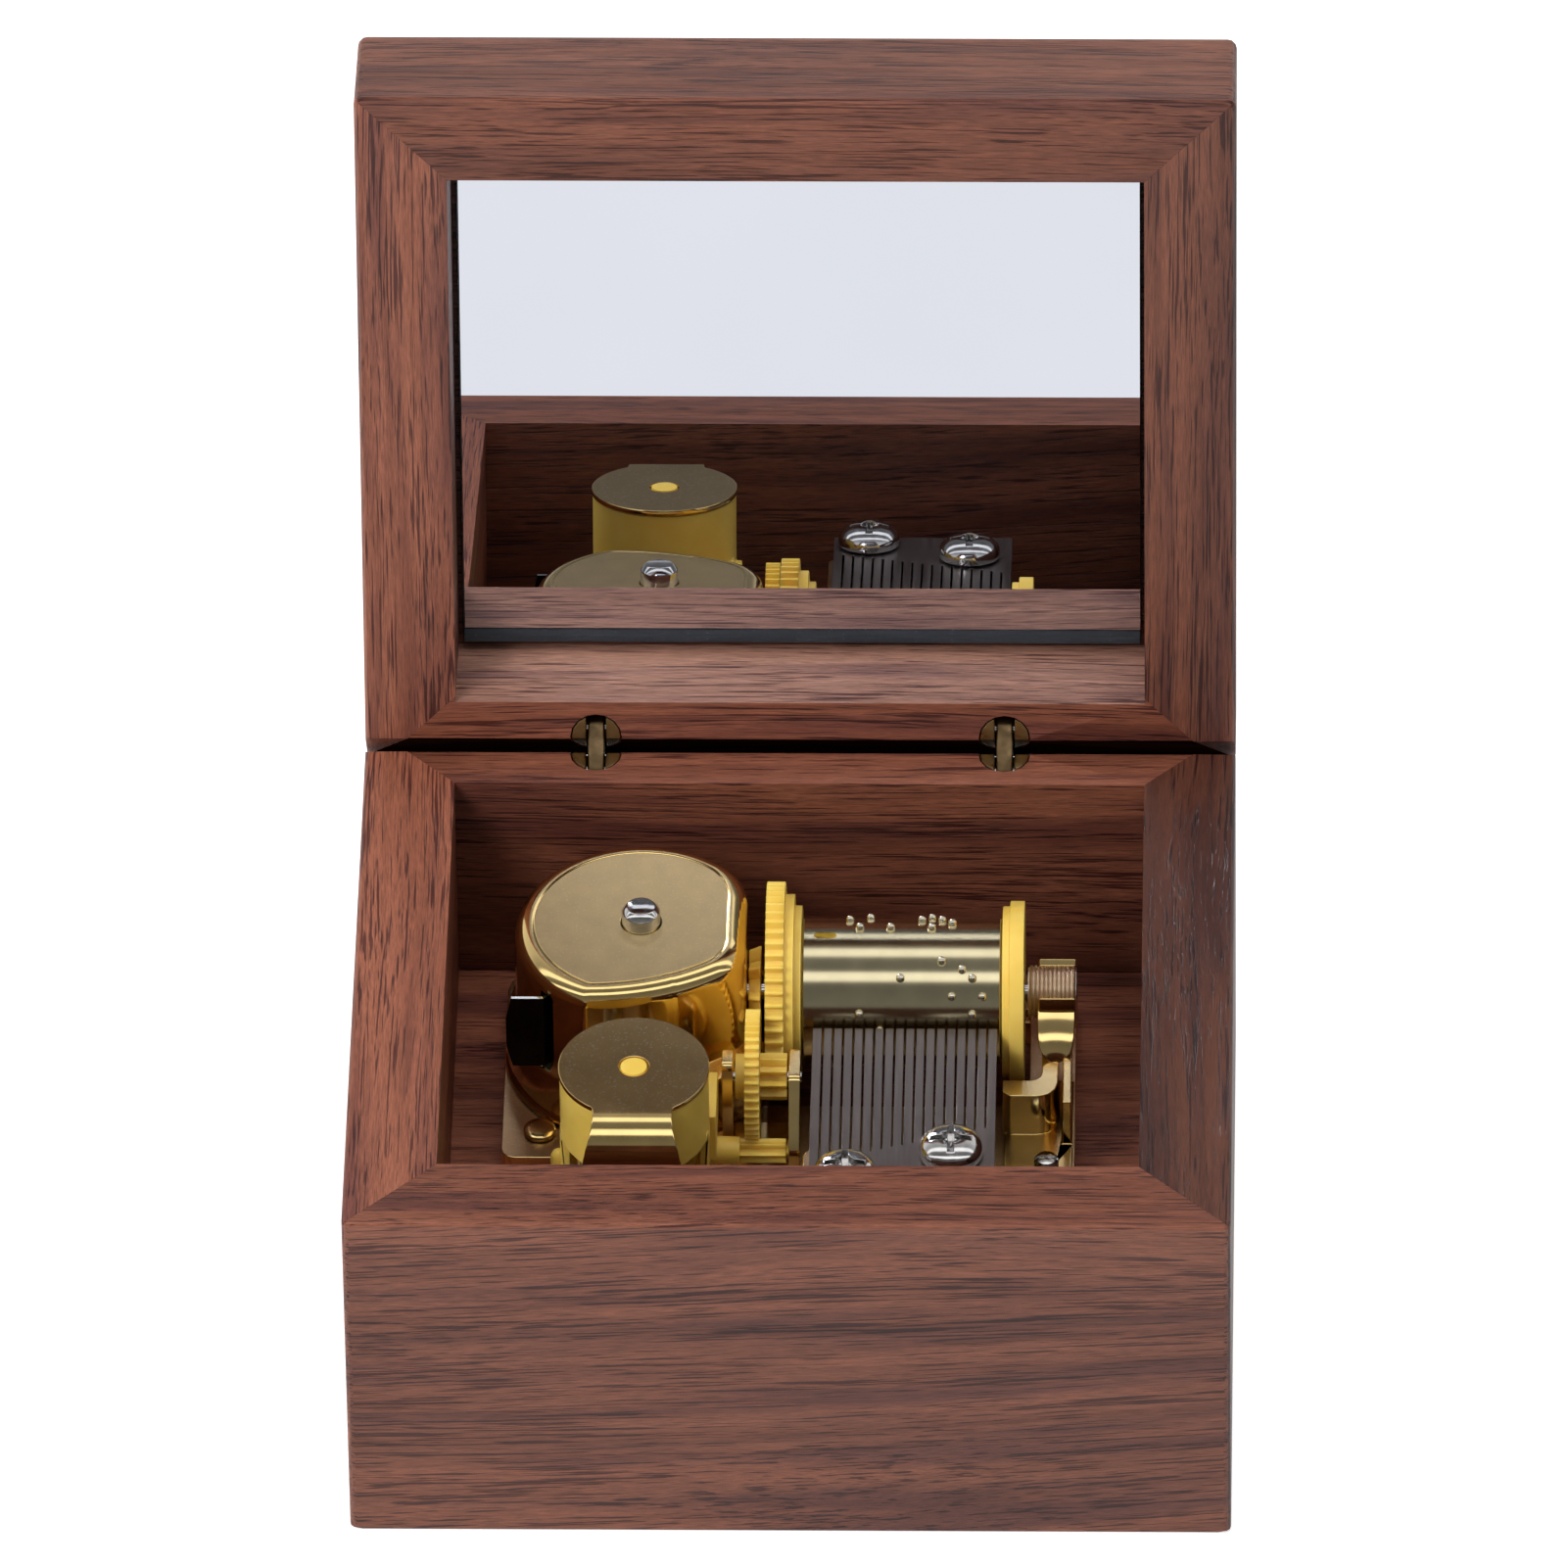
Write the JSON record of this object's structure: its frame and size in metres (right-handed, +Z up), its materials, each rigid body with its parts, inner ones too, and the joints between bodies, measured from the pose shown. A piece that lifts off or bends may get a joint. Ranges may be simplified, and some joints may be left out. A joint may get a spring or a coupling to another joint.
{
  "type": "wooden music box",
  "caption": "Small walnut music box with mitred corners, a hinged lid with a mirror inside and a spring movement with a pinned cylinder and steel comb, wound by a key underneath.",
  "frame": {"origin": "middle of the open box's outline, at its underside", "axes": "+X to the right seen from the front, +Y to the back where the lid is hinged, +Z up"},
  "size_m": [0.078, 0.0896, 0.1005],
  "materials": {
    "walnut": "satin lacquered walnut",
    "mirror_glass": "plain silvered mirror",
    "aged_brass": "dull aged brass",
    "bright_steel": "bright turned steel",
    "gold_plate": "bright gold coloured plating, dull on the flat tops",
    "yellow_plastic": "moulded translucent yellow plastic",
    "comb_steel": "ground dark grey spring steel",
    "blued_steel": "blued spring steel"
  },
  "bodies": {
    "case": {"case_front_board": "walnut", "case_back_board": "walnut", "case_left_board": "walnut", "case_right_board": "walnut", "floor_panel": "walnut", "case_hinge_barrel_left": "aged_brass", "case_hinge_barrel_right": "aged_brass", "case_hinge_pin_left": "bright_steel", "case_hinge_pin_right": "bright_steel", "bedplate": "gold_plate", "corner_rivet": "gold_plate", "mounting_screw_1": "bright_steel", "mounting_screw_2": "bright_steel", "mounting_screw_3": "bright_steel", "spring_housing": "gold_plate", "mainspring": "blued_steel", "gear_bracket": "gold_plate", "governor_housing": "yellow_plastic", "governor_cap": "gold_plate", "comb": "comb_steel", "comb_screw_left": "bright_steel", "comb_screw_right": "bright_steel", "bearing_bush": "gold_plate", "bearing_bracket": "gold_plate", "bearing_screw": "bright_steel"},
    "hinge_links": {"hinge_link_left": "aged_brass", "hinge_link_right": "aged_brass"},
    "lid": {"lid_front_rail": "walnut", "lid_back_rail": "walnut", "lid_left_rail": "walnut", "lid_right_rail": "walnut", "lid_top_panel": "walnut", "mirror_pane": "mirror_glass", "lid_hinge_barrel_left": "aged_brass", "lid_hinge_barrel_right": "aged_brass", "lid_hinge_pin_left": "bright_steel", "lid_hinge_pin_right": "bright_steel"},
    "governor": {"governor_worm": "bright_steel", "governor_weights": "aged_brass"},
    "third_arbor": {"third_wheel": "yellow_plastic"},
    "intermediate": {"intermediate_wheel": "yellow_plastic", "intermediate_shaft": "bright_steel"},
    "cylinder": {"pinned_cylinder": "gold_plate", "cylinder_gear": "yellow_plastic", "cylinder_end_flange": "yellow_plastic", "drive_pinion": "yellow_plastic", "cylinder_shaft": "bright_steel"},
    "winding": {"winding_arbor": "bright_steel", "drive_wheel": "gold_plate", "winding_key": "bright_steel"}
  },
  "joints": [
    {"name": "lid_swing", "type": "hinge", "parent": "hinge_links", "child": "lid", "pos_m": [0, 0.02304, 0.03647], "axis": [1, 0, 0], "range_deg": [0, 49.95]},
    {"name": "links_swing", "type": "hinge", "parent": "case", "child": "hinge_links", "pos_m": [0, 0.01998, 0.0339], "axis": [1, 0, 0], "range_deg": [0, 49.95]},
    {"name": "governor_spin", "type": "hinge", "parent": "case", "child": "governor", "pos_m": [-0.0139, -0.02194, 0.0138], "axis": [0, 0, 1], "continuous": true},
    {"name": "third_spin", "type": "hinge", "parent": "case", "child": "third_arbor", "pos_m": [0, -0.01694, 0.02068], "axis": [1, 0, 0], "continuous": true},
    {"name": "intermediate_spin", "type": "hinge", "parent": "case", "child": "intermediate", "pos_m": [0, -0.01151, 0.0247], "axis": [1, 0, 0], "continuous": true},
    {"name": "cylinder_spin", "type": "hinge", "parent": "case", "child": "cylinder", "pos_m": [0, -0.00017, 0.0251], "axis": [1, 0, 0], "continuous": true},
    {"name": "winding_spin", "type": "hinge", "parent": "case", "child": "winding", "pos_m": [-0.0138, -0.00017, 0.0138], "axis": [0, 0, 1], "continuous": true}
  ],
  "couplings": [
    {"joint": "links_swing", "follows": "lid_swing", "ratio": 1},
    {"joint": "third_spin", "follows": "governor_spin", "ratio": 0.0625},
    {"joint": "intermediate_spin", "follows": "governor_spin", "ratio": -0.0095109},
    {"joint": "cylinder_spin", "follows": "governor_spin", "ratio": 0.0017945},
    {"joint": "winding_spin", "follows": "governor_spin", "ratio": 0.00062117}
  ]
}
